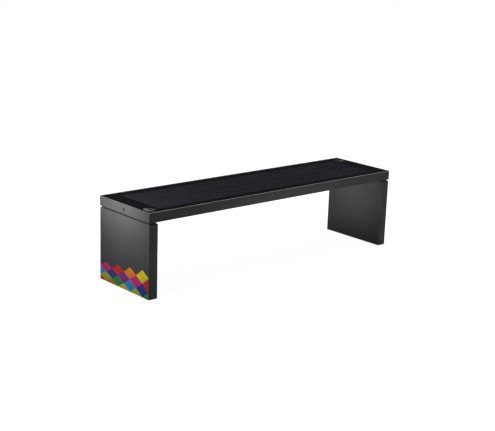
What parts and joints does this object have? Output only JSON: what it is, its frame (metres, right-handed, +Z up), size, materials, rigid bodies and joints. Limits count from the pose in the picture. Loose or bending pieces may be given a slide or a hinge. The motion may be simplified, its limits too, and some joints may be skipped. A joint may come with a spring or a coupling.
{
  "type": "solar charging bench",
  "caption": "Slab-leg steel street bench whose hinged glass-topped solar seat opens over battery and controller, with wireless charging spots at two corners.",
  "frame": {"origin": "centre of the bench's footprint, on the ground", "axes": "+X along the seat to the right seen from the front, +Y to the rear, +Z up"},
  "size_m": [1.8, 0.45, 0.465],
  "materials": {
    "shell_paint": "satin anthracite powder coat with fine orange peel",
    "frame_paint": "matt black primer coat",
    "seal_rubber": "matt black sponge rubber",
    "zinc_steel": "zinc plated",
    "lock_steel": "dark nickel",
    "strut_black": "gloss black",
    "strut_rod_steel": "ground and hardened",
    "battery_blue": "moulded blue plastic",
    "black_plastic": "fine spark texture",
    "heat_sink_alloy": "extruded aluminium",
    "terminal_green": "moulded green plastic",
    "lead_sheath": "smooth black sheath",
    "top_glass": "clear toughened glass, polished edges",
    "bond_black": "black structural sealant",
    "solar_cells": "dark solar cells in a black backed laminate",
    "coil_copper": "enamelled copper winding",
    "leg_print": "printed film with facets in many colours",
    "charging_mark": "copper coloured print under the glass"
  },
  "bodies": {
    "bench": {"seat_tray": "shell_paint", "front_rail": "frame_paint", "rear_rail": "frame_paint", "left_end_rail": "frame_paint", "right_end_rail": "frame_paint", "lid_seal": "seal_rubber", "tray_hinge_leaf": "frame_paint", "hinge_pin": "zinc_steel", "left_leg_shell": "shell_paint", "right_leg_shell": "shell_paint", "left_leg_head_plate": "frame_paint", "right_leg_head_plate": "frame_paint", "left_leg_base_plate": "zinc_steel", "right_leg_base_plate": "zinc_steel", "left_leg_spacer": "frame_paint", "right_leg_spacer": "frame_paint", "left_leg_bolt_1": "zinc_steel", "left_leg_bolt_2": "zinc_steel", "left_leg_bolt_3": "zinc_steel", "left_leg_bolt_4": "zinc_steel", "right_leg_bolt_1": "zinc_steel", "right_leg_bolt_2": "zinc_steel", "right_leg_bolt_3": "zinc_steel", "right_leg_bolt_4": "zinc_steel", "left_lock_housing": "lock_steel", "right_lock_housing": "lock_steel", "left_strut_bracket": "frame_paint", "right_strut_bracket": "frame_paint", "battery_case": "battery_blue", "battery_cover": "black_plastic", "battery_strap_1": "zinc_steel", "battery_strap_2": "zinc_steel", "controller_heat_sink": "heat_sink_alloy", "controller_case": "black_plastic", "terminal_block": "terminal_green", "battery_lead": "lead_sheath", "supply_lead": "lead_sheath", "hinge_lead": "lead_sheath"},
    "lid": {"top_glass": "top_glass", "glass_bond": "bond_black", "lid_frame": "frame_paint", "solar_laminate": "solar_cells", "panel_junction_box": "black_plastic", "lid_hinge_leaf": "frame_paint", "left_charger_housing": "black_plastic", "right_charger_housing": "black_plastic", "left_charger_coil": "coil_copper", "right_charger_coil": "coil_copper", "left_charger_lead": "lead_sheath", "right_charger_lead": "lead_sheath", "left_striker": "zinc_steel", "right_striker": "zinc_steel"},
    "left_strut_barrel": {"left_strut_cylinder": "strut_black"},
    "left_strut_piston": {"left_strut_rod": "strut_rod_steel"},
    "right_strut_barrel": {"right_strut_cylinder": "strut_black"},
    "right_strut_piston": {"right_strut_rod": "strut_rod_steel"},
    "left_lock": {"left_lock_plug": "lock_steel", "left_lock_cam": "zinc_steel"},
    "right_lock": {"right_lock_plug": "lock_steel", "right_lock_cam": "zinc_steel"}
  },
  "joints": [
    {"name": "lid_hinge", "type": "hinge", "parent": "bench", "child": "lid", "pos_m": [0, 0.2182, 0.46], "axis": [-1, 0, 0], "range_deg": [0, 75], "deforming": ["hinge_lead"]},
    {"name": "left_strut_tilt", "type": "hinge", "parent": "lid", "child": "left_strut_barrel", "pos_m": [-0.808, -0.0818, 0.43], "axis": [-1, 0, 0], "range_deg": [0, 5]},
    {"name": "left_strut_travel", "type": "slide", "parent": "left_strut_barrel", "child": "left_strut_piston", "axis": [0, 1, 0], "range_m": [0, 0.068]},
    {"name": "right_strut_tilt", "type": "hinge", "parent": "lid", "child": "right_strut_barrel", "pos_m": [0.808, -0.0818, 0.43], "axis": [-1, 0, 0], "range_deg": [0, 5]},
    {"name": "right_strut_travel", "type": "slide", "parent": "right_strut_barrel", "child": "right_strut_piston", "axis": [0, 1, 0], "range_m": [0, 0.068]},
    {"name": "left_lock_turn", "type": "hinge", "parent": "bench", "child": "left_lock", "pos_m": [-0.9, 0, 0.4375], "axis": [-1, 0, 0], "range_deg": [0, 90]},
    {"name": "right_lock_turn", "type": "hinge", "parent": "bench", "child": "right_lock", "pos_m": [0.9, 0, 0.4375], "axis": [-1, 0, 0], "range_deg": [0, 90]}
  ],
  "couplings": [
    {"joint": "left_strut_tilt", "follows": "lid_hinge", "ratio": 0.062854},
    {"joint": "left_strut_travel", "follows": "lid_hinge", "m_per_rad": 0.051268},
    {"joint": "right_strut_tilt", "follows": "lid_hinge", "ratio": 0.062854},
    {"joint": "right_strut_travel", "follows": "lid_hinge", "m_per_rad": 0.051268}
  ]
}
